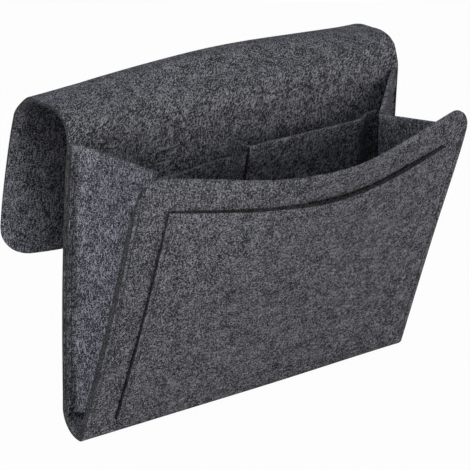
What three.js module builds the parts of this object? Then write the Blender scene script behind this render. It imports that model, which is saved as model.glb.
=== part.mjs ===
// Felt bedside caddy: one long felt strip makes the front, the bottom turn, the back and the flap that
// folds over behind. Folded gussets close the sides, and felt pockets are sewn inside and in front.
// Millimetres, +Z up, -Y towards the front. The origin is on the rear face of the back, at the flap's fold line.
import * as THREE from "three";

// Felt and sewing
const FELT = 3;
const SEWN_GAP = 0.3;
const SEAM_INSET = 4;
const THREAD = 0.8;
const FOLD_GAP = 0.3;

// Body strip
const WIDTH = 320;
const BACK_HEIGHT = 232;
const BOTTOM_RADIUS = 21;
const BOTTOM_FLAT = 1;
const FOOT_RADIUS = 5;
const FRONT_LENGTH = 234;
const FRONT_TILT = THREE.MathUtils.degToRad(15.6);
const FRONT_CORNER = 22;
const FRONT_BOW = 32;
const FRONT_SCOOP = 8;

// Flap, which leaves the back over a front fold, a crowned top and a rear fold
const FRONT_FOLD_RADIUS = 23;
const FRONT_FOLD_TURN = THREE.MathUtils.degToRad(92);
const REAR_FOLD_RADIUS = 20;
const REAR_FOLD_TURN = THREE.MathUtils.degToRad(88);
const FOLD_RELIEF = THREE.MathUtils.degToRad(24);
const TOP_LENGTH = 28;
const TOP_CROWN = 13;
const END_CROWN = 3;
const FLAP_LENGTH = 120;
const FLAP_CORNER = 24;
const FLAP_FLARE = 21.5;

// Side gussets, creased inwards
const FLANGE_WIDTH = 7;
const GUSSET_FOOT = 16;
const GUSSET_ANGLE = THREE.MathUtils.degToRad(11.9);
const GUSSET_CREASE = 202;
const GUSSET_FRONT_TOP = 211;
const CREASE_CLEARANCE = 1.1;

// Pocket on the front
const OUTER_POCKET_INSET = 26;
const OUTER_POCKET_FOOT = 13;
const OUTER_POCKET_DROP = 26;
const OUTER_POCKET_EASE = 0.3;
const OUTER_POCKET_GAPE = 8;

// Pockets on the inside of the back, placed from its sides and from the divider between them
const INNER_POCKET_FOOT = 50;
const LEFT_POCKET_INSET = 24;
const LEFT_POCKET_TOP = 193;
const LEFT_POCKET_GAPE = 7.5;
const POCKET_DIVIDER = -11;
const POCKET_SPACING = 3;
const RIGHT_POCKET_TOP = 208;
const RIGHT_POCKET_DEPTH = 22;
const RIGHT_POCKET_INSET = 55;
const RIGHT_FLANGE_INSET = 20;
const RIGHT_FLANGE_WIDTH = 13;
const RIGHT_FLANGE_TOP = 202;

const HALF_WIDTH = WIDTH / 2;
const LAYER = FELT + SEWN_GAP;
const LEFT_POCKET_EDGE = HALF_WIDTH - LEFT_POCKET_INSET;
const RIGHT_POCKET_CORNER = HALF_WIDTH - RIGHT_POCKET_INSET;
const RIGHT_FLANGE_END = HALF_WIDTH - RIGHT_FLANGE_INSET;
const RIGHT_FLANGE_START = RIGHT_FLANGE_END - RIGHT_FLANGE_WIDTH;
const ROWS = 6;
const COLUMNS = 12;
const CORNER_STEPS = 4;
const ARC_STEPS = 4;

const felt = new THREE.MeshStandardMaterial({ color: 0x55565c, roughness: 0.95, metalness: 0 });
const yarn = new THREE.MeshStandardMaterial({ color: 0x2b2b30, roughness: 0.8, metalness: 0 });

const caddy = new THREE.Group();
const body = new THREE.Group();
body.position.z = -BACK_HEIGHT;
caddy.add(body);

// The front and what is sewn to it stand in their own leaning frame: y runs inwards and z up the panel.
const footCentre = new THREE.Vector2(-BOTTOM_RADIUS - BOTTOM_FLAT, FOOT_RADIUS);
const frontFoot = arcPoint(footCentre, -FOOT_RADIUS, FRONT_TILT);
const front = new THREE.Group();
front.position.set(0, frontFoot.x, frontFoot.y);
front.rotation.x = FRONT_TILT;
body.add(front);

function addPiece(group, name, geometry, material = felt) {
  const mesh = new THREE.Mesh(geometry, material);
  mesh.name = name;
  group.add(mesh);
}

// Even steps from one end to the other, each turned into something by the given function.
function line(count, at) {
  return Array.from({ length: count + 1 }, (_, i) => at(i / count));
}

// Places across a piece from one side to the other.
function acrossPlaces(from, to) {
  return line(COLUMNS, (t) => THREE.MathUtils.lerp(from, to, t));
}

// Places across the whole width: those round the corners at both sides, and the given ones between them.
function corneredPlaces(corner, between) {
  const ends = line(CORNER_STEPS, (t) => HALF_WIDTH - corner * (1 - Math.cos((t * Math.PI) / 2)));
  const inside = between.filter((x) => Math.abs(x) < ends.at(-1) - 1);
  return [...ends.map((x) => -x), ...inside, ...ends.reverse()];
}

// A section in the YZ plane, run along X through the given places, then bent point by point.
function feltStrip(section, places, bend = () => {}) {
  const steps = places.length - 1;
  const geometry = new THREE.ExtrudeGeometry(new THREE.Shape(section), {
    depth: 1,
    steps,
    bevelEnabled: false,
  });
  const [x, y, z] = [0, 1, 2].map((axis) => new THREE.Vector3().setComponent(axis, 1));
  geometry.applyMatrix4(new THREE.Matrix4().makeBasis(y, z, x));
  const positions = geometry.attributes.position;
  const point = new THREE.Vector3();
  for (let i = 0; i < positions.count; i++) {
    point.fromBufferAttribute(positions, i);
    point.x = places[Math.round(point.x * steps)];
    bend(point);
    positions.setXYZ(i, point.x, point.y, point.z);
  }
  geometry.computeVertexNormals();
  return geometry;
}

// The section of a flat sheet between two depths and two heights, with points up both of its faces.
function sheetSection(nearY, farY, lowZ, highZ, rows = ROWS) {
  return [
    ...line(rows, (t) => new THREE.Vector2(nearY, THREE.MathUtils.lerp(lowZ, highZ, t))),
    ...line(rows, (t) => new THREE.Vector2(farY, THREE.MathUtils.lerp(highZ, lowZ, t))),
  ];
}

// A point of an arc about a centre in the YZ plane. The angle runs from +Y towards +Z.
function arcPoint(centre, radius, angle) {
  return new THREE.Vector2(centre.x + radius * Math.cos(angle), centre.y + radius * Math.sin(angle));
}

function arc(centre, radius, from, to) {
  return line(ARC_STEPS, (t) => arcPoint(centre, radius, THREE.MathUtils.lerp(from, to, t)));
}

// How far a corner of a given radius takes away from an edge, this far in from the side.
function cornerDrop(radius, inset) {
  return inset < radius ? radius - Math.sqrt(radius ** 2 - (radius - inset) ** 2) : 0;
}

// One in the middle of a width, running out to nothing at both sides.
function middleShare(x, half = HALF_WIDTH) {
  const across = Math.min(Math.abs(x) / half, 1);
  return (1 - across ** 2 + Math.cos((across * Math.PI) / 2) ** 2) / 2;
}

// How far the front stands forward of its flat plane, between the two side seams.
function frontBow(x, up) {
  const share = Math.max(up, 0) / FRONT_LENGTH;
  return FRONT_BOW * middleShare(x, HALF_WIDTH - FLANGE_WIDTH) * share ** 1.2;
}

function frontTop(x) {
  const drop = cornerDrop(FRONT_CORNER, HALF_WIDTH - Math.abs(x));
  return FRONT_LENGTH - FRONT_SCOOP * middleShare(x) - drop;
}

// A four-sided thread along a smooth line.
function thread(points, steps) {
  const half = THREAD / 2;
  const section = [
    [half, 0],
    [0, half],
    [-half, 0],
    [0, -half],
  ].map(([x, y]) => new THREE.Vector2(x, y));
  return new THREE.ExtrudeGeometry(new THREE.Shape(section), {
    steps,
    bevelEnabled: false,
    extrudePath: new THREE.CatmullRomCurve3(points, false, "centripetal"),
  });
}

// Folds of the flap: arcs about two centres, each hinged at a quarter and at three quarters of its turn.
const frontFold = {
  centre: new THREE.Vector2(FRONT_FOLD_RADIUS - FELT, BACK_HEIGHT),
  radius: FRONT_FOLD_RADIUS,
  from: Math.PI,
  to: Math.PI - FRONT_FOLD_TURN,
};
const topStart = arcPoint(frontFold.centre, frontFold.radius, frontFold.to);
const topEnd = new THREE.Vector2(Math.sin(FRONT_FOLD_TURN), Math.cos(FRONT_FOLD_TURN))
  .multiplyScalar(TOP_LENGTH)
  .add(topStart);
const rearFold = {
  centre: arcPoint(topEnd, -REAR_FOLD_RADIUS, frontFold.to),
  radius: REAR_FOLD_RADIUS,
  from: frontFold.to,
  to: frontFold.to - REAR_FOLD_TURN,
};

const foldAngle = (fold, share) => THREE.MathUtils.lerp(fold.from, fold.to, share);

// The hinge line of half a fold lies where the felt keeps its length as it straightens.
function foldAxisRadius(fold) {
  const quarter = Math.abs(fold.to - fold.from) / 4;
  return ((fold.radius - FELT / 2) * quarter) / Math.sin(quarter);
}

// The end of a felt layer at a hinge line: three points from the outer face to the inner, eased back
// either side of the line. Sign says on which side of the line the felt lies.
function foldEnd(fold, share, sign) {
  const axis = foldAxisRadius(fold);
  const turn = Math.sign(fold.to - fold.from) * sign;
  return [fold.radius, axis, fold.radius - FELT].map((radius) => {
    const ease = FOLD_GAP / 2 + Math.abs(radius - axis) * Math.tan(FOLD_RELIEF);
    return arcPoint(fold.centre, radius, foldAngle(fold, share) + (turn * ease) / radius);
  });
}

// Outer or inner face of a fold between two shares of its turn, without its ends.
function foldFace(fold, radius, fromShare, toShare) {
  return arc(fold.centre, radius, foldAngle(fold, fromShare), foldAngle(fold, toShare)).slice(1, -1);
}

// Section between two hinge lines, which may lie on different folds, with the faces in between.
function foldSection(start, end, outer, inner) {
  return [
    ...foldEnd(start.fold, start.share, 1).reverse(),
    ...outer,
    ...foldEnd(end.fold, end.share, -1),
    ...inner.reverse(),
  ];
}

const HINGE_A = 0.25;
const HINGE_B = 0.75;
const innerRadius = (fold) => fold.radius - FELT;
const straightAcross = acrossPlaces(-HALF_WIDTH, HALF_WIDTH);

// Back, from the bottom turn up to the first hinge line of the flap
addPiece(
  body,
  "back_panel",
  feltStrip(
    [
      new THREE.Vector2(0, BOTTOM_RADIUS + FOLD_GAP),
      new THREE.Vector2(-FELT, BOTTOM_RADIUS + FOLD_GAP),
      ...arc(frontFold.centre, frontFold.radius, frontFold.from, foldAngle(frontFold, HINGE_A)).slice(0, -1),
      ...foldEnd(frontFold, HINGE_A, -1),
      ...arc(frontFold.centre, innerRadius(frontFold), foldAngle(frontFold, HINGE_A), frontFold.from).slice(1),
    ],
    [-HALF_WIDTH, HALF_WIDTH],
  ),
);

// Bottom turn, a wide round behind and a tight one into the foot of the front
const turnCentre = new THREE.Vector2(-BOTTOM_RADIUS, BOTTOM_RADIUS);
const footEnd = -Math.PI + FRONT_TILT;
addPiece(
  body,
  "bottom_turn",
  feltStrip(
    [
      ...arc(turnCentre, BOTTOM_RADIUS, 0, -Math.PI / 2),
      ...arc(footCentre, FOOT_RADIUS, -Math.PI / 2, footEnd),
      ...arc(footCentre, FOOT_RADIUS - FELT, footEnd, -Math.PI / 2),
      ...arc(turnCentre, BOTTOM_RADIUS - FELT, -Math.PI / 2, 0),
    ],
    [-HALF_WIDTH, HALF_WIDTH],
  ),
);

// Front, bowed forward towards its scooped top edge
const outerHalf = HALF_WIDTH - OUTER_POCKET_INSET;
const pocketAcross = acrossPlaces(-outerHalf, outerHalf);
addPiece(
  front,
  "front_panel",
  feltStrip(sheetSection(0, FELT, FOLD_GAP, FRONT_LENGTH), corneredPlaces(FRONT_CORNER, pocketAcross), (p) => {
    p.z *= frontTop(p.x) / FRONT_LENGTH;
    p.y -= frontBow(p.x, p.z);
  }),
);

// Outer pocket, lying on the front and standing off it a little at its mouth
const outerTop = (x) => frontTop(x) - OUTER_POCKET_DROP;
function outerFace(x, up) {
  const share = THREE.MathUtils.clamp((up - OUTER_POCKET_FOOT) / (outerTop(x) - OUTER_POCKET_FOOT), 0, 1);
  const gape = OUTER_POCKET_GAPE * Math.sqrt(middleShare(x, outerHalf)) * share ** 3;
  return -frontBow(x, up) - LAYER - OUTER_POCKET_EASE - gape;
}
addPiece(
  front,
  "outer_pocket",
  feltStrip(sheetSection(0, FELT, 0, 1), pocketAcross, (p) => {
    p.z = THREE.MathUtils.lerp(OUTER_POCKET_FOOT, outerTop(p.x), p.z);
    p.y += outerFace(p.x, p.z);
  }),
);

// Flap: front fold, crowned top, rear fold and the hanging part, which flares back at its lower corners
addPiece(
  body,
  "flap_front_fold",
  feltStrip(
    foldSection(
      { fold: frontFold, share: HINGE_A },
      { fold: frontFold, share: HINGE_B },
      foldFace(frontFold, frontFold.radius, HINGE_A, HINGE_B),
      foldFace(frontFold, innerRadius(frontFold), HINGE_A, HINGE_B),
    ),
    [-HALF_WIDTH, HALF_WIDTH],
  ),
);
const crownFrom = arcPoint(frontFold.centre, foldAxisRadius(frontFold), foldAngle(frontFold, HINGE_B)).x;
const crownTo = arcPoint(rearFold.centre, foldAxisRadius(rearFold), foldAngle(rearFold, HINGE_A)).x;
function crown(p) {
  const share = THREE.MathUtils.clamp((p.y - crownFrom) / (crownTo - crownFrom), 0, 1);
  const height = THREE.MathUtils.lerp(END_CROWN, TOP_CROWN, middleShare(p.x));
  p.z += height * Math.sin(Math.PI * share) ** 2;
}
function topFace(depth) {
  const start = arc(frontFold.centre, frontFold.radius - depth, foldAngle(frontFold, HINGE_B), frontFold.to);
  const end = arc(rearFold.centre, rearFold.radius - depth, rearFold.from, foldAngle(rearFold, HINGE_A));
  const middle = start.at(-1).clone().lerp(end[0], 0.5);
  return [...start.slice(1), middle, ...end.slice(0, -1)];
}
addPiece(
  body,
  "flap_top",
  feltStrip(
    foldSection({ fold: frontFold, share: HINGE_B }, { fold: rearFold, share: HINGE_A }, topFace(0), topFace(FELT)),
    straightAcross,
    crown,
  ),
);
addPiece(
  body,
  "flap_rear_fold",
  feltStrip(
    foldSection(
      { fold: rearFold, share: HINGE_A },
      { fold: rearFold, share: HINGE_B },
      foldFace(rearFold, rearFold.radius, HINGE_A, HINGE_B),
      foldFace(rearFold, innerRadius(rearFold), HINGE_A, HINGE_B),
    ),
    [-HALF_WIDTH, HALF_WIDTH],
  ),
);
const flapTop = rearFold.centre.y;
function hang(p) {
  const down = Math.max(flapTop - p.z, 0);
  const inset = HALF_WIDTH - Math.abs(p.x);
  p.z += (down / FLAP_LENGTH) * cornerDrop(FLAP_CORNER, inset);
  const share = Math.max(flapTop - p.z, 0) / FLAP_LENGTH;
  p.y += FLAP_FLARE * (p.x / HALF_WIDTH) ** 4 * share ** 0.72;
}
const flapSheet = sheetSection(
  rearFold.centre.x + rearFold.radius,
  rearFold.centre.x + innerRadius(rearFold),
  flapTop,
  flapTop - FLAP_LENGTH,
);
addPiece(
  body,
  "flap",
  feltStrip(
    [
      ...foldEnd(rearFold, HINGE_B, 1).reverse(),
      ...arc(rearFold.centre, rearFold.radius, foldAngle(rearFold, HINGE_B), rearFold.to).slice(1, -1),
      ...flapSheet,
      ...arc(rearFold.centre, innerRadius(rearFold), rearFold.to, foldAngle(rearFold, HINGE_B)).slice(1, -1),
    ],
    corneredPlaces(FLAP_CORNER, straightAcross),
    hang,
  ),
);

// Gussets. Their seams along the back and the front meet in a point below the caddy, and so does the crease.
const seamX = HALF_WIDTH - FLANGE_WIDTH;
const rearSeamY = -(LAYER + FELT);
const frontSeamFoot = arcPoint(frontFoot, LAYER + FELT, FRONT_TILT);
const apexBelowFoot = (rearSeamY - frontSeamFoot.x) / Math.sin(FRONT_TILT);
const apexZ = frontSeamFoot.y - apexBelowFoot * Math.cos(FRONT_TILT);
const creaseIn = Math.acos(Math.cos(GUSSET_ANGLE) / Math.cos(FRONT_TILT / 2));
const footReach = GUSSET_FOOT - apexZ;
const creaseReach = footReach / Math.cos(GUSSET_ANGLE) + GUSSET_CREASE;

function addGusset(side, label) {
  const apex = new THREE.Vector3(side * seamX, rearSeamY, apexZ);
  const along = (lean) => new THREE.Vector3(0, -Math.sin(lean), Math.cos(lean));
  const crease = along(FRONT_TILT / 2)
    .multiplyScalar(Math.cos(creaseIn))
    .setX(-side * Math.sin(creaseIn));
  const halves = [
    { name: "rear", seam: along(0), top: BACK_HEIGHT - apexZ, outward: 1 },
    { name: "front", seam: along(FRONT_TILT), top: GUSSET_FRONT_TOP + apexBelowFoot, outward: -1 },
  ];
  for (const { name, seam, top, outward } of halves) {
    const face = new THREE.Vector3().crossVectors(seam, crease).normalize();
    face.multiplyScalar(Math.sign(face.y) * outward);
    const across = crease.clone().addScaledVector(seam, -crease.dot(seam)).normalize();
    const places = [0, 1];
    if (seam.clone().cross(face).dot(across) < 0) places.reverse();
    const half = feltStrip(sheetSection(0, FELT, 0, 1, 1), places, (p) => {
      const reach = THREE.MathUtils.lerp(footReach, top, p.x);
      const onSeam = seam.clone().multiplyScalar(reach).addScaledVector(across, FOLD_GAP / 2);
      const far = THREE.MathUtils.lerp(footReach / Math.cos(GUSSET_ANGLE), creaseReach, p.x);
      const onCrease = crease.clone().multiplyScalar(far);
      onCrease.addScaledVector(across, (-CREASE_CLEARANCE * far) / creaseReach);
      const depth = p.y;
      p.lerpVectors(onSeam, onCrease, p.z).addScaledVector(face, depth).add(apex);
    });
    addPiece(body, `${label}_gusset_${name}_half`, half);
  }
  const flangeEnds = [side * seamX, side * HALF_WIDTH].sort((a, b) => a - b);
  addPiece(
    body,
    `${label}_gusset_rear_flange`,
    feltStrip(sheetSection(rearSeamY, -LAYER, BOTTOM_RADIUS, BACK_HEIGHT, 1), flangeEnds),
  );
  addPiece(
    front,
    `${label}_gusset_front_flange`,
    feltStrip(sheetSection(LAYER, LAYER + FELT, OUTER_POCKET_FOOT, GUSSET_FRONT_TOP, 1), flangeEnds),
  );
}
addGusset(-1, "left");
addGusset(1, "right");

// Left inner pocket, flat on the back with its mouth a little open
const leftPocketEnd = POCKET_DIVIDER - POCKET_SPACING;
function leftPocketFace(x, z) {
  const across = THREE.MathUtils.clamp((x + LEFT_POCKET_EDGE) / (leftPocketEnd + LEFT_POCKET_EDGE), 0, 1);
  const up = THREE.MathUtils.clamp((z - INNER_POCKET_FOOT) / (LEFT_POCKET_TOP - INNER_POCKET_FOOT), 0, 1);
  return -LAYER - LEFT_POCKET_GAPE * Math.sin(Math.PI * across) ** 2 * up ** 2;
}
addPiece(
  body,
  "left_pocket",
  feltStrip(
    sheetSection(-FELT, 0, INNER_POCKET_FOOT, LEFT_POCKET_TOP),
    acrossPlaces(-LEFT_POCKET_EDGE, leftPocketEnd),
    (p) => {
      p.y += leftPocketFace(p.x, p.z);
    },
  ),
);

// Right inner pocket: its front leans out from a seam at its foot, with a wall on either side
const rightDepth = LAYER + RIGHT_POCKET_DEPTH;
function rightPocketBack(z) {
  const up = (z - INNER_POCKET_FOOT) / (RIGHT_POCKET_TOP - INNER_POCKET_FOOT);
  return THREE.MathUtils.lerp(-LAYER, -rightDepth, up);
}
addPiece(
  body,
  "right_pocket_front",
  feltStrip(sheetSection(-FELT, 0, INNER_POCKET_FOOT, RIGHT_POCKET_TOP, 1), [POCKET_DIVIDER, RIGHT_POCKET_CORNER], (p) => {
    p.y += rightPocketBack(p.z);
  }),
);
const wallFoot = THREE.MathUtils.lerp(INNER_POCKET_FOOT, RIGHT_POCKET_TOP, 0.1);
function wallSection(top) {
  return [
    new THREE.Vector2(-LAYER, wallFoot),
    new THREE.Vector2(-LAYER, top),
    new THREE.Vector2(rightPocketBack(top) + SEWN_GAP, top),
    new THREE.Vector2(rightPocketBack(wallFoot) + SEWN_GAP, wallFoot),
  ];
}
addPiece(
  body,
  "right_pocket_divider_wall",
  feltStrip(wallSection(RIGHT_POCKET_TOP), [POCKET_DIVIDER, POCKET_DIVIDER + FELT]),
);
addPiece(
  body,
  "right_pocket_end_wall",
  feltStrip(wallSection(RIGHT_FLANGE_TOP), [RIGHT_POCKET_CORNER - FELT, RIGHT_POCKET_CORNER], (p) => {
    const share = (p.y + LAYER) / (rightPocketBack(p.z) + LAYER);
    const run = RIGHT_FLANGE_START - SEWN_GAP - RIGHT_POCKET_CORNER;
    p.x += run * (1 - share);
  }),
);
addPiece(
  body,
  "right_pocket_flange",
  feltStrip(sheetSection(-LAYER - FELT, -LAYER, wallFoot, RIGHT_FLANGE_TOP, 1), [RIGHT_FLANGE_START, RIGHT_FLANGE_END]),
);

// Seam threads, each lying on the felt that it holds
const lift = SEWN_GAP + THREAD / 2;
const seamLine = HALF_WIDTH - SEAM_INSET;
for (const [side, label] of [
  [-1, "left"],
  [1, "right"],
]) {
  const x = side * seamLine;
  const backSeam = line(4, (t) => {
    const z = THREE.MathUtils.lerp(BOTTOM_RADIUS + SEAM_INSET, BACK_HEIGHT - SEAM_INSET, t);
    return new THREE.Vector3(x, rearSeamY - lift, z);
  });
  addPiece(body, `${label}_back_seam`, thread(backSeam, 4), yarn);
  const frontSeam = line(4, (t) => {
    return new THREE.Vector3(x, -lift, THREE.MathUtils.lerp(OUTER_POCKET_FOOT, GUSSET_FRONT_TOP, t));
  });
  addPiece(front, `${label}_front_seam`, thread(frontSeam, 4), yarn);
}

// A seam down one side of a pocket, along its foot and up the other side, on a given face.
function pocketSeam(left, right, foot, top, face) {
  const corner = SEAM_INSET / 2;
  const at = (x, up) => new THREE.Vector3(x, face(x, up) - lift, up);
  return [
    ...line(ROWS, (t) => at(left, THREE.MathUtils.lerp(top(left), foot + corner, t))),
    ...line(COLUMNS, (t) => at(THREE.MathUtils.lerp(left + corner, right - corner, t), foot)),
    ...line(ROWS, (t) => at(right, THREE.MathUtils.lerp(foot + corner, top(right), t))),
  ];
}
const outerSeam = pocketSeam(
  -outerHalf + SEAM_INSET,
  outerHalf - SEAM_INSET,
  OUTER_POCKET_FOOT + SEAM_INSET,
  (x) => outerTop(x) - SEAM_INSET,
  outerFace,
);
addPiece(front, "outer_pocket_seam", thread(outerSeam, 60), yarn);
const leftSeam = pocketSeam(
  -LEFT_POCKET_EDGE + SEAM_INSET,
  leftPocketEnd - SEAM_INSET,
  INNER_POCKET_FOOT + SEAM_INSET,
  () => LEFT_POCKET_TOP - SEAM_INSET,
  (x, z) => leftPocketFace(x, z) - FELT,
);
addPiece(body, "left_pocket_seam", thread(leftSeam, 60), yarn);
const flangeMiddle = (RIGHT_FLANGE_START + RIGHT_FLANGE_END) / 2;
const rightSeam = line(4, (t) => {
  const z = THREE.MathUtils.lerp(wallFoot + SEAM_INSET, RIGHT_FLANGE_TOP - SEAM_INSET, t);
  return new THREE.Vector3(flangeMiddle, -LAYER - FELT - lift, z);
});
addPiece(body, "right_pocket_seam", thread(rightSeam, 4), yarn);

export default caddy;
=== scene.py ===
"""Looks of a felt bedside caddy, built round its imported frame.

One long strip of grey felt makes the front, the bottom, the back and the flap that folds over
behind. Pleated gussets close the sides, and felt pockets are sewn inside and in front. Sizes are
in millimetres in the part's own frame, +Z up and -Y to the front, and turn into metres when a
mesh is made.
"""
import logging
import math
from collections.abc import Callable, Sequence
from dataclasses import dataclass, field
from enum import Enum
from typing import Union

import bmesh
import bpy
from mathutils import Matrix, Vector, noise


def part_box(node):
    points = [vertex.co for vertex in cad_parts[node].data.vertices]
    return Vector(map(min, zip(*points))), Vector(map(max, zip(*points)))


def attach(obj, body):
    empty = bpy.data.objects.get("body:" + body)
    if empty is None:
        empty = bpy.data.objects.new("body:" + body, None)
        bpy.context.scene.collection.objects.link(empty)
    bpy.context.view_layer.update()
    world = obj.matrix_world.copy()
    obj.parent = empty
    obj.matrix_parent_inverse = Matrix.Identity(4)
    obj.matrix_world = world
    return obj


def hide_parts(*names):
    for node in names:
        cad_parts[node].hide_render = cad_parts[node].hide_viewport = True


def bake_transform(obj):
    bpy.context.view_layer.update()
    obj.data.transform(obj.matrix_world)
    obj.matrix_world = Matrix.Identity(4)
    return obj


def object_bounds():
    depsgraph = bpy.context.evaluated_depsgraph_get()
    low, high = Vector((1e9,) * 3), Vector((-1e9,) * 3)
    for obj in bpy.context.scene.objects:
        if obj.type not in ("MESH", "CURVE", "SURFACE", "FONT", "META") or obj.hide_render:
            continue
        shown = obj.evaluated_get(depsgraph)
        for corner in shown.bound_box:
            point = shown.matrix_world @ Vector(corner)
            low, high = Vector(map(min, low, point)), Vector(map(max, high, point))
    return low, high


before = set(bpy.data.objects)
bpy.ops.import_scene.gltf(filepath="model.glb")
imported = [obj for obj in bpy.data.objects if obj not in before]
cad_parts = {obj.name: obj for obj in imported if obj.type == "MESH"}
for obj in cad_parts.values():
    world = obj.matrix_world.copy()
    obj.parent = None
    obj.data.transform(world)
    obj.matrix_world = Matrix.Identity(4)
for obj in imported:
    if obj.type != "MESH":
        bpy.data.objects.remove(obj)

Span = tuple[float, float]
Triple = tuple[float, float, float]
Grid = list[list[Vector]]
Line = list[tuple[Vector, Vector]]

LOG = logging.getLogger("caddy")
MM = 0.001
FELT = 3.0
SEWN_GAP = 0.3
LAYER = FELT + SEWN_GAP
SIDES = ((-1, "left"), (1, "right"))

# The side seams: how far they lie in from an edge, where they run, and how they fade past their ends.
SEAM_INSET = 4.0
FRONT_SEAM: Span = (13.0, 211.0)
BACK_SEAM: Span = (-207.0, -4.0)
SEAM_FADE: Span = (6.0, 8.0)

# Stitches draw the felt into a groove, and painted shade darkens the felt along them.
GROOVE_DEPTH = 0.9
GROOVE_REACH = 1.2
GROOVE_OFFSETS = (-2.4, -1.5, -0.8, 0.0, 0.8, 1.5, 2.4)
SEAM_SHADE_REACH = 0.9

# Length and width of one swell of the pressed felt's unevenness.
SWELL: Span = (47, 53)

# Faces that meet at less than the first angle look smooth, and edges sharper than the second are cut.
SMOOTH_ANGLE = math.radians(38)
CUT_ANGLE = math.radians(50)
FACES_UP = 0.7

CAD_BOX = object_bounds()
HALF_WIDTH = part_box("back_panel")[1].x / MM
SEAM_HALF = HALF_WIDTH - 7


class Side(Enum):
    """The four sides of a sheet's grid."""

    LEFT = "left"
    RIGHT = "right"
    START = "start"
    END = "end"


class Ray(Enum):
    """Kinds of ray that see the bare white studio."""

    CAMERA = "Is Camera Ray"
    GLOSSY = "Is Glossy Ray"
    TRANSMISSION = "Is Transmission Ray"


def steps(start: float, end: float, count: int) -> list[float]:
    """Even steps from start to end, both of them among the values."""
    return [start + (end - start) * i / count for i in range(count + 1)]


def merged(places: Sequence[float], least: float) -> list[float]:
    """Sorts places and drops those that crowd a neighbour.

    Args:
        places: Places along a line.
        least: Smallest spacing that is kept.

    Returns:
        The places in order, both ends kept.
    """
    ordered = sorted(places)
    kept = [ordered[0]]
    for place in ordered[1:-1]:
        if place - kept[-1] >= least and ordered[-1] - place >= least:
            kept.append(place)
    return [*kept, ordered[-1]]


def clamped(share: float) -> float:
    """A share held between 0 and 1."""
    return min(max(share, 0.0), 1.0)


def eased(share: float) -> float:
    """A share that starts and ends gently, from 0 to 1."""
    share = clamped(share)
    return share * share * (3 - 2 * share)


def middle_share(x: float, half: float = HALF_WIDTH) -> float:
    """One in the middle of a width, running out to nothing at both sides."""
    across = min(abs(x) / half, 1.0)
    return (1 - across**2 + math.cos(across * math.pi / 2) ** 2) / 2


def corner_drop(radius: float, inset: float) -> float:
    """How far a rounded corner takes away from an edge.

    Args:
        radius: The corner's radius.
        inset: How far in from the side the edge is measured.

    Returns:
        The distance, nothing past the corner.
    """
    if inset >= radius:
        return 0.0
    return radius - math.sqrt(radius**2 - (radius - inset) ** 2)


def groove(distance: float) -> float:
    """How deep the felt is drawn in, this far from a line of stitches."""
    return GROOVE_DEPTH * math.exp(-((distance / GROOVE_REACH) ** 2))


def groove_places(line: float) -> list[float]:
    """Places either side of a line of stitches that give its groove a round form."""
    return [line + offset for offset in GROOVE_OFFSETS]


def seam_shade_share(distance: float) -> float:
    """How much painted shade darkens the felt, this far from a line of stitches."""
    return math.exp(-((distance / SEAM_SHADE_REACH) ** 2))


def sewn_share(place: float, seam: Span) -> float:
    """One along a seam, running out to nothing just past its ends.

    Args:
        place: Place along the seam's line.
        seam: Where the seam starts and ends.

    Returns:
        A share from 0 to 1.
    """
    past, span = SEAM_FADE
    low, high = seam
    return eased((place - low + past) / span) * eased((high - place + past) / span)


def ripple(a: float, b: float, size: float) -> float:
    """A slow unevenness of pressed felt, from two places on the sheet."""
    return size * noise.noise(Vector((a / SWELL[0], b / SWELL[1], size)))


def set_back(x: float, z: float) -> float:
    """How far the left side of the back stands behind its flat plane.

    Args:
        x: Place across the back.
        z: Height on the back.

    Returns:
        The distance, most at mid-height and nothing from the middle to the right.
    """
    most, start, width = 3.6, 40, 120
    foot, height = -208, 228
    left = clamped((-x - start) / width)
    return most * left**2 * math.sin(math.pi * clamped((z - foot) / height))


def arc_point(centre: Span, radius: float, angle: float) -> Span:
    """Depth and height of a point on a turn of the felt."""
    return centre[0] + radius * math.cos(angle), centre[1] + radius * math.sin(angle)


def turn_between(start: Vector, end: Vector, share: float) -> Vector:
    """Turns from one unit direction towards another.

    Args:
        start: The first direction.
        end: The last direction.
        share: Share of the turn between them.

    Returns:
        The unit direction there.
    """
    angle = start.angle(end)
    rest = math.sin((1 - share) * angle)
    return (start * rest + end * math.sin(share * angle)) / math.sin(angle)


def rounded_line(corners: Sequence[Vector], eases: Sequence[float], counts: Sequence[int]) -> list[Vector]:
    """A line through corners, with each inner corner eased into a curve.

    Args:
        corners: The line's corners.
        eases: How far from each inner corner its curve starts.
        counts: How many steps each straight stretch has.

    Returns:
        Points along the line, as many for any corners of the same number.
    """
    bend_steps, most = 6, 0.45
    points: list[Vector] = []
    start = corners[0]
    for i, count in enumerate(counts):
        last = i == len(counts) - 1
        corner = corners[i + 1]
        length = (corner - corners[i]).length
        after = length if last else (corners[i + 2] - corner).length
        ease = 0.0 if last else min(eases[i], most * length, most * after)
        end = corner.lerp(corners[i], ease / length)
        points += [start.lerp(end, share) for share in steps(0, 1, count)[:-1]]
        if last:
            points.append(end)
            continue
        leave = corner.lerp(corners[i + 2], ease / after)
        for share in steps(0, 1, bend_steps)[:-1]:
            points.append(end.lerp(corner, share).lerp(corner.lerp(leave, share), share))
        start = leave
    return points


@dataclass(frozen=True)
class Cloth:
    """The felt's finish, and a darker copy of it painted as shade on cut edges.

    Attributes:
        face: Its pressed faces.
        cut: The painted shade of the edges where it was cut, a darker copy of the felt.
    """

    face: bpy.types.Material
    cut: bpy.types.Material


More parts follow.
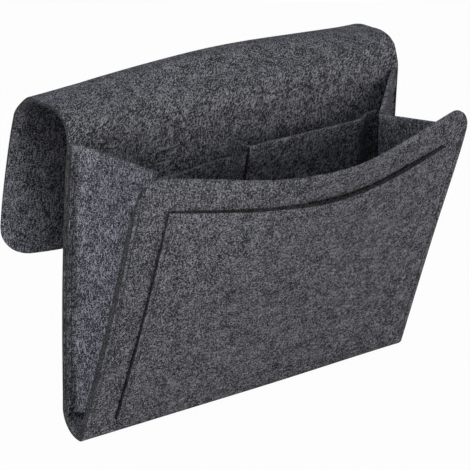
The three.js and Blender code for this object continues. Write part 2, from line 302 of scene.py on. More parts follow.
@dataclass
class FeltSheet:
    """One piece of felt, shaped from a grid of points in the middle of its thickness.

    Attributes:
        name: The piece's name.
        grid: Rows of points in millimetres.
        joined: Sides that run on in another piece, and so have no cut edge.
        lit_upward_edges: Whether cut edges that face up take the faces' felt as if lit, while the rest keep
            the painted edge shade.
        seam_shade: How much painted shade darkens the felt along stitches at a point, from 0 to 1.
        thickness: The felt's thickness.
        edge: How far its cut edges are rounded.
    """

    name: str
    grid: Grid
    joined: frozenset[Side] = frozenset()
    lit_upward_edges: bool = True
    seam_shade: Callable[[Vector], float] | None = None
    thickness: float = FELT
    edge: float = 0.5

    def build(self, cloth: Cloth) -> bpy.types.Object:
        """Makes the sheet, gives it its thickness and rounds its cut edges.

        Args:
            cloth: The finish of its faces and the painted shade of its cut edges.

        Returns:
            The finished piece.
        """
        rows, columns = len(self.grid), len(self.grid[0])
        points = [point for row in self.grid for point in row]
        bpy.ops.object.select_all(action="DESELECT")
        bpy.ops.mesh.primitive_grid_add(x_subdivisions=columns - 1, y_subdivisions=rows - 1, size=1)
        piece = bpy.context.object
        piece.name = self.name
        piece.data.name = self.name
        piece.data.vertices.foreach_set("co", [value * MM for point in points for value in point])
        # Painted shade along the stitches, stored on the points for the felt's colour.
        if self.seam_shade:
            marks = piece.data.attributes.new("seam_shade", "FLOAT", "POINT")
            marks.data.foreach_set("value", [self.seam_shade(point) for point in points])
        piece.data.update()
        piece.data.materials.append(cloth.face)
        piece.data.materials.append(cloth.cut)
        wall = piece.modifiers.new("thickness", "SOLIDIFY")
        wall.thickness = self.thickness * MM
        wall.offset = 0
        wall.use_even_offset = True
        # The rims, which are the cut edges, take the painted edge shade.
        wall.material_offset_rim = 1
        bpy.ops.object.modifier_apply(modifier=wall.name)
        self._mark_cut_edges(piece, rows, columns)
        rim = piece.modifiers.new("cut edges", "BEVEL")
        rim.width = self.edge * MM
        rim.segments = 2
        rim.limit_method = "WEIGHT"
        bpy.ops.object.modifier_apply(modifier=rim.name)
        bpy.ops.object.shade_smooth_by_angle(angle=SMOOTH_ANGLE)
        return piece

    def _mark_cut_edges(self, piece: bpy.types.Object, rows: int, columns: int) -> None:
        """Weights the edges where the felt was cut, so that they are rounded.

        Args:
            piece: The sheet with its thickness.
            rows: Rows of its grid.
            columns: Columns of its grid.
        """
        count = rows * columns
        lines = {
            Side.START: set(range(columns)),
            Side.END: set(range(count - columns, count)),
            Side.LEFT: set(range(0, count, columns)),
            Side.RIGHT: set(range(columns - 1, count, columns)),
        }

        def runs_on(part: bmesh.types.BMFace | bmesh.types.BMEdge) -> bool:
            """Whether a face or an edge lies on a side that runs on in another piece."""
            ends = {vertex.index % count for vertex in part.verts}
            return any(ends <= lines[side] for side in self.joined)

        mesh = bmesh.new()
        mesh.from_mesh(piece.data)
        # Painted light: cut edges that face up take the plain felt, as if lit, and the other cut edges keep
        # the painted shade; sides that run on take the plain felt.
        for face in mesh.faces:
            if (self.lit_upward_edges and face.normal.z > FACES_UP) or runs_on(face):
                face.material_index = 0
        weight = mesh.edges.layers.float.new("bevel_weight_edge")
        for edge in mesh.edges:
            if not runs_on(edge) and len(edge.link_faces) == 2 and edge.calc_face_angle() > CUT_ANGLE:
                edge[weight] = 1.0
        mesh.to_mesh(piece.data)
        mesh.free()

    def flat_size(self) -> tuple[Span, float]:
        """Measures the cut piece before it was folded and sewn.

        Returns:
            Its width and length in metres, and its flat area in square metres.
        """
        widths, lengths = (
            [sum((b - a).length for a, b in zip(line, line[1:])) for line in lines]
            for lines in (self.grid, list(zip(*self.grid)))
        )
        area = 0.0
        for low, high in zip(self.grid, self.grid[1:]):
            for a, b, c, d in zip(low, low[1:], high[1:], high):
                area += (c - a).cross(d - b).length / 2
        size = (max(widths) * MM, max(lengths) * MM)
        return size, min(area * MM * MM, size[0] * size[1])

    def declare(self, piece: bpy.types.Object, held: str, rests_on: Sequence[str] = ()) -> None:
        """Logs the size that the piece was cut to.

        Args:
            piece: The finished piece.
            held: How the felt is held; not used.
            rests_on: What it is sewn to or hangs from; not used.
        """
        size, area = self.flat_size()
        LOG.info("%s: felt cut to %.0f by %.0f mm", piece.name, size[0] / MM, size[1] / MM)


Operand = Union["Value", int, float]


class Value:
    """A shader socket that takes part in sums."""

    def __init__(self, shader: "Shader", socket: bpy.types.NodeSocket) -> None:
        """Keeps the socket and the shader that it belongs to."""
        self.shader = shader
        self.socket = socket

    def _sum(self, operation: str, first: Operand, second: Operand) -> "Value":
        """Adds a Math node for one operation on two values."""
        return self.shader.node("ShaderNodeMath", {"operation": operation}, {0: first, 1: second})

    def __add__(self, other: Operand) -> "Value":
        """The sum of two values."""
        return self._sum("ADD", self, other)

    def __radd__(self, other: Operand) -> "Value":
        """The sum of a number and a value."""
        return self._sum("ADD", other, self)

    def __sub__(self, other: Operand) -> "Value":
        """The difference of two values."""
        return self._sum("SUBTRACT", self, other)

    def __rsub__(self, other: Operand) -> "Value":
        """A number less a value."""
        return self._sum("SUBTRACT", other, self)

    def __mul__(self, other: Operand) -> "Value":
        """The product of two values."""
        return self._sum("MULTIPLY", self, other)

    def __rmul__(self, other: Operand) -> "Value":
        """The product of a number and a value."""
        return self._sum("MULTIPLY", other, self)

    def most(self, other: Operand) -> "Value":
        """The larger of two values."""
        return self._sum("MAXIMUM", self, other)


class Shader:
    """A material or world made of nodes."""

    def __init__(self, owner: Union[bpy.types.Material, bpy.types.World]) -> None:
        """Empties the owner's node tree and starts a new one."""
        owner.use_nodes = True
        self.tree = owner.node_tree
        self.tree.nodes.clear()

    def node(
        self,
        kind: str,
        settings: dict[str, object],
        inputs: dict[Union[int, str], object],
        out: Union[int, str] = 0,
    ) -> Value | None:
        """Adds one node.

        Args:
            kind: The node's type.
            settings: Properties that are set first.
            inputs: Values or links for its sockets, by name or number.
            out: The output that is wanted.

        Returns:
            The wanted output, or nothing for a node that has none.
        """
        node = self.tree.nodes.new(kind)
        for name, value in settings.items():
            setattr(node, name, value)
        for name, value in inputs.items():
            if isinstance(value, Value):
                self.tree.links.new(value.socket, node.inputs[name])
            else:
                node.inputs[name].default_value = value
        return Value(self, node.outputs[out]) if len(node.outputs) else None

    def place(self) -> Value:
        """Where a point lies on its piece."""
        return self.node("ShaderNodeTexCoord", {}, {}, "Object")

    def noise(self, place: Value, scale: float, detail: float, rough: float) -> Value:
        """A cloudy value from 0 to 1 with features of about a metre divided by scale."""
        inputs = {"Vector": place, "Scale": scale, "Detail": detail, "Roughness": rough}
        return self.node("ShaderNodeTexNoise", {}, inputs, "Fac")

    def spread(self, value: Value, low: float, high: float) -> Value:
        """Stretches what lies between low and high to the whole range from 0 to 1."""
        inputs = {"Value": value, "From Min": low, "From Max": high}
        return self.node("ShaderNodeMapRange", {"clamp": True}, inputs)

    def turned(self, place: Value, angles: Triple, scale: Triple) -> Value:
        """Turns and stretches a pattern."""
        inputs = {"Vector": place, "Rotation": angles, "Scale": scale}
        return self.node("ShaderNodeMapping", {"vector_type": "TEXTURE"}, inputs)

    def mix(self, share: Value, first: Triple, second: Triple) -> Value:
        """Mixes two colours."""
        inputs = {0: share, 6: (*first, 1), 7: (*second, 1)}
        return self.node("ShaderNodeMix", {"data_type": "RGBA"}, inputs, 2)

    def dull(self, colour: Value, height: Value, bump: Span, rough: float, shine: float) -> None:
        """Ends a material in a dull surface with fine relief.

        Args:
            colour: Its colour.
            height: Its relief, from 0 to 1.
            bump: How strongly the relief shows, and its height in millimetres.
            rough: How rough it is.
            shine: How much it shines.
        """
        relief = {"Height": height, "Strength": bump[0], "Distance": bump[1] * MM}
        normal = self.node("ShaderNodeBump", {}, relief)
        look = {"Base Color": colour, "Roughness": rough, "Specular IOR Level": shine, "Normal": normal}
        surface = self.node("ShaderNodeBsdfPrincipled", {}, look)
        self.node("ShaderNodeOutputMaterial", {}, {"Surface": surface})


@dataclass(frozen=True)
class FeltFinish:
    """Pressed felt of mixed dark and light grey fibres.

    Attributes:
        dark: Colour of the dark fibres.
        light: Colour of the light fibres.
        fibre: Length and width of a clump of fibres in millimetres.
        lie: Angles at which the fibres lie.
        grain: Size of the grain in millimetres.
        blotch: Size of the slow light and dark blotches in millimetres.
        shares: How much the fibres, the grain and the blotches show.
        clump: Levels between which a clump turns from dark to light.
        seam_shade_strength: How far painted shade darkens the felt along stitches.
        bump: How strongly the fibres stand out, and their height in millimetres.
    """

    dark: Triple = (0.020, 0.020, 0.023)
    light: Triple = (0.298, 0.296, 0.320)
    fibre: Span = (4.2, 0.62)
    lie: tuple[float, ...] = (2.75, 2.4, 0.3, 1.5)
    grain: float = 1.0
    blotch: float = 9.0
    shares: Triple = (1.3, 0.3, 0.2)
    clump: Span = (1.046, 1.15)
    seam_shade_strength: float = 0.9
    bump: Span = (0.6, 0.5)

    def make(self, name: str) -> bpy.types.Material:
        """Builds the felt material.

        Args:
            name: The material's name.

        Returns:
            The material.
        """
        material = bpy.data.materials.new(name)
        shader = Shader(material)
        place = shader.place()
        streaks = self._streaks(shader, place)
        grain = shader.noise(place, 1 / (self.grain * MM), 2.0, 0.6)
        blotch = shader.noise(place, 1 / (self.blotch * MM), 2.0, 0.55)
        long, fine, slow = self.shares
        clumps = shader.spread(streaks * long + grain * fine + blotch * slow, *self.clump)
        # Painted shade: the felt is darkened along stitches, for the shade in their grooves.
        sewn = shader.node("ShaderNodeAttribute", {"attribute_name": "seam_shade"}, {}, "Fac")
        clumps = clumps * (1 - sewn * self.seam_shade_strength)
        colour = shader.mix(clumps, self.dark, self.light)
        shader.dull(colour, clumps, self.bump, rough=0.95, shine=0.1)
        return material

    def _streaks(self, shader: Shader, place: Value) -> Value:
        """Short fibres lying in several directions.

        Args:
            shader: The material's shader.
            place: Where the point lies on the piece.

        Returns:
            A value from 0 to 1, high on a fibre.
        """
        length, width = self.fibre
        found: Value | None = None
        for index, angle in enumerate(self.lie):
            angles = (0.35 * index, angle, 0.5 * index)
            fibres = shader.noise(shader.turned(place, angles, (length, width, width)), 1 / MM, 0.5, 0.5)
            found = fibres if found is None else found.most(fibres)
        return found


# Painted shade: a darker copy of the felt for cut edges, which stands for the shade on edges that face
# sideways or down.
EDGE_SHADE_FELT = FeltFinish(dark=(0.010, 0.010, 0.010), light=(0.060, 0.059, 0.057), fibre=(2.5, 1.0))


@dataclass(frozen=True)
class ThreadFinish:
    """Dark grey sewing thread with a twist.

    Attributes:
        dark: Colour between its plies.
        light: Colour on its plies.
        twist: Size of its plies in millimetres.
        bump: How strongly they stand out, and their height in millimetres.
    """

    dark: Triple = (0.012, 0.012, 0.015)
    light: Triple = (0.036, 0.036, 0.042)
    twist: float = 0.5
    bump: Span = (0.4, 0.2)

    def make(self) -> bpy.types.Material:
        """Builds the thread material.

        Returns:
            The material.
        """
        material = bpy.data.materials.new("thread")
        shader = Shader(material)
        plies = shader.noise(shader.place(), 1 / (self.twist * MM), 1.0, 0.5)
        colour = shader.mix(plies, self.dark, self.light)
        shader.dull(colour, plies, self.bump, rough=0.75, shine=0.3)
        return material


@dataclass
class Front:
    """The leaning front, whose own frame runs inwards and up the panel.

    Attributes:
        foot: Depth and height of its foot, on its outer face.
        tilt: How far it leans forward.
        length: Its height along the panel.
        corners: Radii of its top corners, on the left and on the right.
        bow: How far its top stands forward in the middle.
        bow_curve: How steeply that grows towards the top.
        scoop: How far its top edge dips in the middle.
        tip: How far its top edge rises at the left end, and how far it drops at the right end.
        belly: How far its left and right sides belly out.
        belly_curve: How far up the right side bellies.
        foot_rise: How far its foot stands up at its right end.
    """

    foot: Span = (-26.816, -228.345)
    tilt: float = math.radians(15.6)
    length: float = 234.0
    corners: Span = (22.0, 21.0)
    bow: float = 32.0
    bow_curve: float = 1.2
    scoop: float = 8.0
    tip: Span = (2.4, 1.6)
    belly: Span = (3.2, 2.3)
    belly_curve: float = 3.5
    foot_rise: float = 1.5

    def foot_at(self, x: float) -> float:
        """How far the foot stands up, at the right only."""
        return self.foot_rise * eased(x / HALF_WIDTH)

    def bow_at(self, x: float, up: float) -> float:
        """How far the front stands forward of its flat plane."""
        share = max(up, 0.0) / self.length
        return self.bow * middle_share(x, SEAM_HALF) * share**self.bow_curve

    def top_at(self, x: float) -> float:
        """The height of the top edge along the panel.

        Args:
            x: Place across the panel.

        Returns:
            The height.
        """
        right = int(x > 0)
        drop = corner_drop(self.corners[right], HALF_WIDTH - abs(x))
        tip = self.tip[right] * x / HALF_WIDTH
        return self.length - self.scoop * middle_share(x) - drop - tip

    def belly_at(self, x: float, up: float) -> float:
        """How far the panel bellies out near its sides, the right one higher up than the left one.

        Args:
            x: Place across the panel.
            up: Height along the panel.

        Returns:
            The distance out of its flat plane.
        """
        share = clamped(up / self.length)
        right = (1 + x / HALF_WIDTH) / 2
        left_out, right_out = self.belly
        low, high = math.sin(math.pi * share), math.sin(math.pi * share**self.belly_curve)
        return (1 - right) * left_out * low + right * right_out * high

    def inward(self) -> Vector:
        """The direction into the pouch."""
        return Vector((0, math.cos(self.tilt), math.sin(self.tilt)))

    def up(self) -> Vector:
        """The direction up the panel."""
        return Vector((0, -math.sin(self.tilt), math.cos(self.tilt)))

    def height_of(self, point: Vector) -> float:
        """The height of a point along the panel."""
        return (point - Vector((point.x, *self.foot))).dot(self.up())

    def point(self, x: float, up: float, inward: float) -> Vector:
        """A point of the front's own frame, in the part's frame."""
        depth = inward - self.belly_at(x, up)
        return Vector((x, *self.foot)) + self.up() * up + self.inward() * depth


@dataclass
class BodyStrip:
    """The long strip: front, bottom, back, folds and flap.

    Attributes:
        front: The leaning front.
        foot_centre: Centre of the tight turn at the front's foot.
        foot_radius: Its radius in the middle of the felt.
        turn_centre: Centre of the wide turn under the back.
        turn_radius: Its radius in the middle of the felt.
        back_cut: Height at which the strip runs on in its next piece.
        front_seam_top: Height at which the front's side seams end.
        fold_centres: Centres of the flap's two folds.
        fold_radii: Their radii in the middle of the felt.
        fold_turns: Their angles in degrees.
        bend: How far the felt bends either side of a fold's hinge line; not used.
        crown: How far the top between the folds is domed at its ends and in its middle.
        crown_span: Depths between which the dome rises and falls.
        crown_ease: Width over which it grows from its left end.
        shoulder: How far the front fold stands up at its right end.
        shoulder_across: Where across the strip that starts, and over what width it grows.
        shoulder_rise: Depth over which it rises behind the back.
        shoulder_fall: Depth at which it starts to fall, and over what depth it does.
        slump: How far the rear fold is drawn in at its left end.
        slump_across: How far left of the middle that starts, and over what width it grows.
        flap_length: How far the flap hangs.
        flap_corner: Radius of its lower corners.
        flap_flare: How far its lower corners stand back.
        flare_curve: How steeply that grows towards the sides, and down the flap.
        uneven: How uneven the front and the flap are.
        flap_swell: Where in the felt's unevenness the flap starts.
    """

    front: Front
    foot_centre: Span = (-22.0, -227.0)
    foot_radius: float = 3.5
    turn_centre: Span = (-21.0, -211.0)
    turn_radius: float = 19.5
    back_cut: float = -60.0
    front_seam_top: float = -26.0
    fold_centres: tuple[Span, Span] = ((20.0, 0.0), (48.088, 2.021))
    fold_radii: Span = (21.5, 18.5)
    fold_turns: Span = (92.0, 88.0)
    bend: float = 6.5
    crown: Span = (2.8, 12.0)
    crown_span: Span = (12.0, 55.8)
    crown_ease: float = 60.0
    shoulder: float = 3.6
    shoulder_across: Span = (60.0, 100.0)
    shoulder_rise: float = 4.5
    shoulder_fall: Span = (8.0, 24.0)
    slump: float = 3.4
    slump_across: Span = (115.0, 45.0)
    flap_length: float = 120.0
    flap_corner: float = 24.0
    flap_flare: float = 21.5
    flare_curve: tuple[int, float] = (4, 0.72)
    uneven: Span = (1.6, 2.0)
    flap_swell: float = 400.0

    def build(self, cloth: Cloth) -> list[bpy.types.Object]:
        """Makes the strip's five pieces.

        Args:
            cloth: The felt.

        Returns:
            The pieces, from the front to the flap.
        """
        seam = HALF_WIDTH - SEAM_INSET
        middle = steps(-HALF_WIDTH, HALF_WIDTH, 44)
        plain = merged([*middle, *groove_places(seam), *groove_places(-seam)], 0.6)
        cornered = merged([*plain, *self._corner_places(self.front.corners)], 0.7)
        hanging = merged([*plain, *self._corner_places((self.flap_corner, self.flap_corner))], 0.6)

        lower = self._front_rows(cornered) + self._bottom_rows(cornered)
        heights = steps(self.turn_centre[1], self.back_cut, 22)[1:]
        lower += [self._back_row(cornered, z) for z in heights]
        upper = [self._back_row(plain, z) for z in steps(self.back_cut, 0, 9)]
        upper += self._fold_rows(plain, 0, 0.0, 0.5)[1:]
        tops = self._top_rows(plain)
        half = len(tops) // 2
        rising = self._fold_rows(plain, 0, 0.5, 1.0) + tops[1 : half + 1]
        falling = tops[half:-1] + self._fold_rows(plain, 1, 0.0, 0.5)
        flap = self._fold_rows(hanging, 1, 0.5, 1.0) + self._flap_rows(hanging)[1:]

        both = {Side.START, Side.END}
        plan = [
            ("body_felt", lower, {Side.END}, ("front_panel", "bottom_turn", "back_panel")),
            ("back_top_felt", upper, both, ()),
            ("fold_front_felt", rising, both, ("flap_front_fold",)),
            ("fold_rear_felt", falling, both, ("flap_top", "flap_rear_fold")),
            ("flap_felt", flap, {Side.START}, ("flap",)),
        ]
        pieces = []
        for name, grid, joined, nodes in plan:
            sheet = FeltSheet(name, grid, frozenset(joined), seam_shade=self._seam_shade)
            piece = sheet.build(cloth)
            sheet.declare(piece, "folded")
            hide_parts(*nodes)
            pieces.append(piece)
        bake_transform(pieces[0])
        bodies = ("back", "front_fold", "top", "rear_fold", "flap")
        hinges = [(fold, share) for fold in (0, 1) for share in (0.25, 0.75)]
        for piece, first, second, hinge in zip(pieces[1:], bodies, bodies[1:], hinges):
            self._bend(piece, first, second, *hinge)
        return pieces

    def _seam_shade(self, point: Vector) -> float:
        """How much painted shade darkens the felt along the side seams.

        Args:
            point: A point of the strip.

        Returns:
            A share from 0 to 1, nothing behind the front fold.
        """
        if point.y > self.fold_centres[0][0]:
            return 0.0
        low, high = BACK_SEAM
        if point.y <= self.turn_centre[0]:
            high = self.front_seam_top
        return seam_shade_share(abs(point.x) - HALF_WIDTH + SEAM_INSET) * sewn_share(point.z, (low, high))

    def _bend(self, piece: bpy.types.Object, first: str, second: str, fold: int, share: float) -> None:
        """Bakes a piece's place into its mesh, and works out a fold's hinge line that nothing uses.

        Args:
            piece: The piece.
            first: The body that its start moves with; not used.
            second: The body that its end moves with; not used.
            fold: Which fold.
            share: Share of the fold's turn at which the hinge line lies.
        """
        angle = self._fold_angle(fold, share)
        hinge = Vector((0, *arc_point(self.fold_centres[fold], self.fold_radii[fold], angle)))
        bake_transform(piece)

    def _back_row(self, across: Sequence[float], z: float) -> list[Vector]:
        """A row of the back.

        Args:
            across: Places across the strip.
            z: The row's height.

        Returns:
            Its points.
        """
        seam = HALF_WIDTH - SEAM_INSET
        sewn = sewn_share(z, BACK_SEAM)
        return [Vector((x, groove(abs(x) - seam) * sewn - FELT / 2 + set_back(x, z), z)) for x in across]

    def _corner_places(self, radii: Span) -> list[float]:
        """Places across the strip that follow its rounded corners.

        Args:
            radii: Radii of the corners, on the left and on the right.

        Returns:
            The places.
        """
        places = []
        for (side, _), radius in zip(SIDES, radii):
            for angle in steps(0, math.pi / 2, 12):
                places.append(side * (HALF_WIDTH - radius * (1 - math.cos(angle))))
        return places

    def _front_rows(self, across: Sequence[float]) -> Grid:
        """Rows down the front, from its top edge to its foot.

        Args:
            across: Places across the strip.

        Returns:
            The rows.
        """
        seam = HALF_WIDTH - SEAM_INSET
        rows: Grid = []
        for share in steps(1, 0, 42):
            row = []
            for x in across:
                foot = self.front.foot_at(x)
                up = foot + share * (self.front.top_at(x) - foot)
                uneven = ripple(x, up, self.uneven[0]) * share * middle_share(x)
                sunk = groove(abs(x) - seam) * sewn_share(up, FRONT_SEAM)
                depth = FELT / 2 - self.front.bow_at(x, up) + sunk + uneven
                row.append(self.front.point(x, up, depth))
            rows.append(row)
        return rows

    def _bottom_rows(self, across: Sequence[float]) -> Grid:
        """Rows round the two turns under the pouch, from the front's foot to the back.

        Args:
            across: Places across the strip.

        Returns:
            The rows.
        """
        rows: Grid = []
        foot = steps(-math.pi + self.front.tilt, -math.pi / 2, 9)[1:]
        turns = [(self.foot_centre, self.foot_radius, angle) for angle in foot]
        turns += [(self.turn_centre, self.turn_radius, angle) for angle in steps(-math.pi / 2, 0, 14)]
        for turn in turns:
            y, z = arc_point(*turn)
            lift = clamped(y / self.turn_centre[0])
            rows.append([Vector((x, y, z + lift * self.front.foot_at(x))) for x in across])
        return rows

    def _fold_angle(self, fold: int, share: float) -> float:
        """The angle at a share of a fold's turn."""
        start = math.pi if fold == 0 else math.pi - math.radians(self.fold_turns[0])
        return start - share * math.radians(self.fold_turns[fold])

    def _crowned(self, point: Vector) -> Vector:
        """Lifts a point of the top by the dome between the folds.

        Args:
            point: A point of the folds or the top.

        Returns:
            The lifted point.
        """
        low, high = self.crown_span
        share = clamped((point.y - low) / (high - low))
        end, middle = self.crown
        end *= eased((point.x + HALF_WIDTH) / self.crown_ease)
        height = end + (middle - end) * middle_share(point.x)
        lift = height * (1 - math.cos(math.pi * share) ** 4)
        start, width = self.shoulder_across
        fall, depth = self.shoulder_fall
        squared = eased(point.y / self.shoulder_rise) * (1 - eased((point.y - fall) / depth))
        lift += self.shoulder * eased((point.x - start) / width) * squared
        return point + Vector((0, set_back(point.x, point.z), lift))

    def _fold_rows(self, across: Sequence[float], fold: int, start: float, end: float) -> Grid:
        """Rows round part of a fold.

        Args:
            across: Places across the strip.
            fold: Which fold.
            start: Share of its turn where the rows start.
            end: Share of its turn where they end.

        Returns:
            The rows.
        """
        centre, radius = self.fold_centres[fold], self.fold_radii[fold]
        left, width = self.slump_across
        rows: Grid = []
        for share in steps(start, end, 10):
            angle = self._fold_angle(fold, share)
            out = Vector((0, math.cos(angle), math.sin(angle)))
            row = []
            for x in across:
                drawn = fold * self.slump * eased((-x - left) / width) * math.sin(math.pi * share)
                row.append(self._crowned(Vector((x, *centre)) + out * (radius - drawn)))
            rows.append(row)
        return rows

    def _top_rows(self, across: Sequence[float]) -> Grid:
        """Rows of the top between the folds.

        Args:
            across: Places across the strip.

        Returns:
            The rows.
        """
        ends = []
        for fold, share in ((0, 1.0), (1, 0.0)):
            angle = self._fold_angle(fold, share)
            ends.append(arc_point(self.fold_centres[fold], self.fold_radii[fold], angle))
        rows: Grid = []
        for share in steps(0, 1, 6):
            y, z = (a + (b - a) * share for a, b in zip(*ends))
            rows.append([self._crowned(Vector((x, y, z))) for x in across])
        return rows

    def _flap_rows(self, across: Sequence[float]) -> Grid:
        """Rows down the hanging flap.

        Args:
            across: Places across the strip.

        Returns:
            The rows.
        """
        centre, radius = self.fold_centres[1], self.fold_radii[1]
        sideways, downwards = self.flare_curve
        rows: Grid = []
        for share in steps(0, 1, 20):
            row = []
            for x in across:
                length = self.flap_length - corner_drop(self.flap_corner, HALF_WIDTH - abs(x))
                down = share * length
                outer = (x / HALF_WIDTH) ** sideways
                flare = self.flap_flare * outer * (down / self.flap_length) ** downwards
                uneven = ripple(x, self.flap_swell + down, self.uneven[1]) * share
                row.append(Vector((x, centre[0] + radius + flare + uneven, centre[1] - down)))
            rows.append(row)
        return rows


@dataclass
class Gusset:
    """A side gusset, sewn along the back and the front and creased inwards.

    Attributes:
        front: The leaning front.
        label: Which side it closes.
        side: -1 on the left, 1 on the right.
        apex_height: Height below the caddy at which its seams and crease would meet.
        foot_reach: Distance from there to its foot.
        crease_in: Angle by which the crease leans inwards.
        crease_foot: Distance along the crease to its foot.
        crease_top: Distance along the crease to its top.
        rear_top: Distance along the rear seam to its top.
        front_top: Distance along the front seam to its top.
        fold: Radius of the crease in the middle of the felt.
        ease: How far from the seam the felt starts to turn.
        insets: How far the flanges' edges lie in from the panels' edges, on the left and on the right.
        lifts: How much higher its top edge is cut, on the left and on the right.
        bend: How far outside and inside of its seam it bends; not used.
    """

    front: Front
    label: str
    side: int
    apex_height: float = -278.40
    foot_reach: float = 62.4
    crease_in: float = math.radians(9.02)
    crease_foot: float = 63.77
    crease_top: float = 265.77
    rear_top: float = 278.40
    front_top: float = 264.73
    fold: float = 1.75
    ease: float = 4.0
    insets: Span = (0.3, 3.0)
    lifts: Span = (0.0, 2.2)
    bend: Span = (2.0, 5.0)

    def build(self, cloth: Cloth) -> list[bpy.types.Object]:
        """Makes the rear and the front half with their sewn flanges.

        Args:
            cloth: The felt.

        Returns:
            The two pieces.
        """
        tilt = self.front.tilt
        apex = Vector((self.side * SEAM_HALF, -(LAYER + FELT), self.apex_height))
        crease = Vector((0, -math.sin(tilt / 2), math.cos(tilt / 2))) * math.cos(self.crease_in)
        crease.x = -self.side * math.sin(self.crease_in)
        seams = {"rear": Vector((0, 0, 1)), "front": self.front.up()}
        faces = {}
        for name, seam in seams.items():
            normal = seam.cross(crease).normalized()
            faces[name] = normal if (normal.y > 0) == (name == "rear") else -normal
        inside = (faces["rear"] + faces["front"]).normalized()
        lift = self.lifts[int(self.side > 0)]
        tops = {"rear": self.rear_top + lift, "front": self.front_top + lift}
        crease_length = self.crease_top + lift - self.crease_foot
        outs = {"rear": Vector((0, 1, 0)), "front": -self.front.inward()}
        pieces = []
        for name, seam in seams.items():
            grid = []
            for share in steps(0, 1, 36):
                at_seam = apex + seam * (self.foot_reach + share * (tops[name] - self.foot_reach))
                at_seam += self._drawn(name, at_seam)
                at_crease = apex + crease * (self.crease_foot + share * crease_length)
                grid.append(self._row(at_seam, at_crease, faces[name], outs[name], inside))
            pieces.append(self._piece(name, grid, cloth))
        return pieces

    def _drawn(self, name: str, seam: Vector) -> Vector:
        """How far a seam follows the panel that it is sewn to out of its flat plane.

        Args:
            name: Which half.
            seam: A point of its seam.

        Returns:
            The way that the point is moved.
        """
        if name == "rear":
            return Vector((0, set_back(seam.x, seam.z), 0))
        return -self.front.inward() * self.front.belly_at(seam.x, self.front.height_of(seam))

    def _row(self, seam: Vector, crease: Vector, face: Vector, out: Vector, inside: Vector) -> list[Vector]:
        """Points from the flange's edge over the seam to the crease and half-way round it.

        Args:
            seam: Where the row crosses the seam.
            crease: Where it reaches the crease.
            face: The way from the fold's inside to the panel.
            out: The way from the seam to the panel that it is sewn to.
            inside: The way from the crease into the pouch.

        Returns:
            The row's points.
        """
        sewn = seam + out * (FELT / 2)
        inset = self.insets[int(self.side > 0)]
        edge = sewn + Vector((self.side * (HALF_WIDTH - inset - SEAM_HALF), 0, 0))
        bent = crease + face * self.fold
        line = rounded_line([edge, sewn, bent], [self.ease], [5, 14])
        wrap = [crease + turn_between(face, inside, share) * self.fold for share in steps(0, 1, 7)]
        return line[:-1] + wrap

    def _piece(self, name: str, grid: Grid, cloth: Cloth) -> bpy.types.Object:
        """Makes one half.

        Args:
            name: Which half.
            grid: Its rows of points.
            cloth: The felt.

        Returns:
            The finished piece.
        """
        sheet = FeltSheet(f"{self.label}_gusset_{name}_felt", grid, frozenset({Side.RIGHT}))
        piece = sheet.build(cloth)
        sheet.declare(piece, "folded", ["body_felt"])
        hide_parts(f"{self.label}_gusset_{name}_half", f"{self.label}_gusset_{name}_flange")
        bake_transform(piece)
        return piece


@dataclass
class OuterPocket:
    """The wide pocket sewn on the front, open at its top.

    Attributes:
        front: The leaning front.
        half: Half its width.
        foot: Height of its lower edge along the panel.
        drop: How far its mouth lies below the front's top edge.
        rise: How much nearer to that edge it lies in the middle.
        ease: Slack between it and the front.
        gape: How far its mouth stands open in the middle.
        seam_shade_strength: How far painted shade darkens the felt along its seam.
        uneven: How uneven it is.
        swell: Where in the felt's unevenness it starts.
        rough_height: About how high it is, for placing the rows along its foot's seam.
    """

    front: Front
    half: float = HALF_WIDTH - 26
    foot: float = 13.0
    drop: float = 26.0
    rise: float = 2.8
    ease: float = 0.3
    gape: float = 2.0
    seam_shade_strength: float = 0.6
    uneven: float = 1.2
    swell: float = 200.0
    rough_height: float = 200.0

    def top_at(self, x: float) -> float:
        """The height of its mouth along the panel."""
        return self.front.top_at(x) - self.drop + self.rise * middle_share(x, self.half)

    def outer(self, x: float, up: float) -> float:
        """How far its outer face lies inwards of the front's flat plane.

        Args:
            x: Place across the panel.
            up: Height along the panel.

        Returns:
            The distance, below nothing where it stands out.
        """
        share = clamped((up - self.foot) / (self.top_at(x) - self.foot))
        gape = self.gape * math.sqrt(max(middle_share(x, self.half), 0.0)) * share**3
        sunk = groove(self.half - SEAM_INSET - abs(x)) + groove(up - self.foot - SEAM_INSET)
        return -self.front.bow_at(x, up) - LAYER - self.ease - gape + min(sunk, GROOVE_DEPTH)

    def _seam_shade(self, point: Vector) -> float:
        """How much painted shade darkens the felt along its seam at a point."""
        foot = seam_shade_share(self.front.height_of(point) - self.foot - SEAM_INSET)
        return max(seam_shade_share(self.half - SEAM_INSET - abs(point.x)), foot) * self.seam_shade_strength

    def build(self, cloth: Cloth) -> bpy.types.Object:
        """Makes the pocket.

        Args:
            cloth: The felt.

        Returns:
            The finished piece.
        """
        seam = self.half - SEAM_INSET
        places = [*steps(-self.half, self.half, 40), *groove_places(seam), *groove_places(-seam)]
        across = merged(places, 0.6)
        foot_seam = [place / self.rough_height for place in groove_places(SEAM_INSET)]
        grid = []
        for share in merged([*steps(0, 1, 36), *foot_seam], 0.003):
            row = []
            for x in across:
                up = self.foot + share * (self.top_at(x) - self.foot)
                uneven = ripple(x, self.swell + up, self.uneven) * share * middle_share(x, self.half)
                row.append(self.front.point(x, up, self.outer(x, up) + FELT / 2 + uneven))
            grid.append(row)
        # Its cut edges, the mouth's too, keep the painted edge shade.
        sheet = FeltSheet("outer_pocket_felt", grid, lit_upward_edges=False, seam_shade=self._seam_shade)
        piece = sheet.build(cloth)
        sheet.declare(piece, "stretched", ["body_felt"])
        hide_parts("outer_pocket")
        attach(piece, "front")
        return piece


